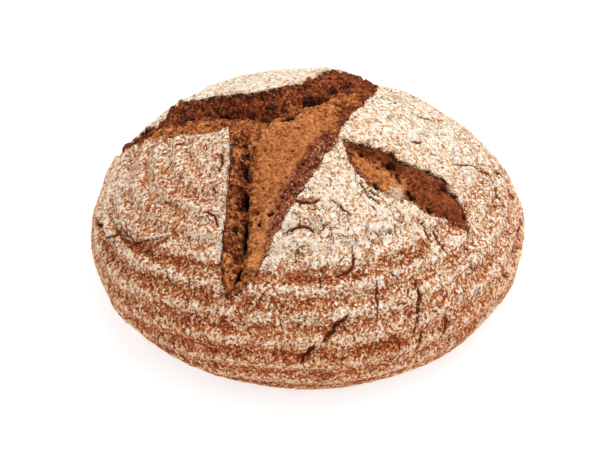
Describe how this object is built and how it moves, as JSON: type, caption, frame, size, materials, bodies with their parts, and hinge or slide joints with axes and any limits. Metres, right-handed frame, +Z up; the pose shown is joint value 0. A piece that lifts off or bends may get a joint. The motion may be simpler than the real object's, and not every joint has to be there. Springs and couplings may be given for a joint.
{
  "type": "walnut bread",
  "caption": "Round rustic loaf with a floured crust ringed by its proofing basket, burst open in a cross on top.",
  "frame": {"origin": "middle of the loaf's flat heel, on the surface that it stands on", "axes": "+Z up, +Y towards the loaf's back, +X to the right of someone who looks along +Y"},
  "size_m": [0.252, 0.252, 0.1107],
  "materials": {
    "crust": "matte baked crust under a dusting of flour"
  },
  "bodies": {
    "root": {"loaf": "crust"}
  },
  "joints": []
}
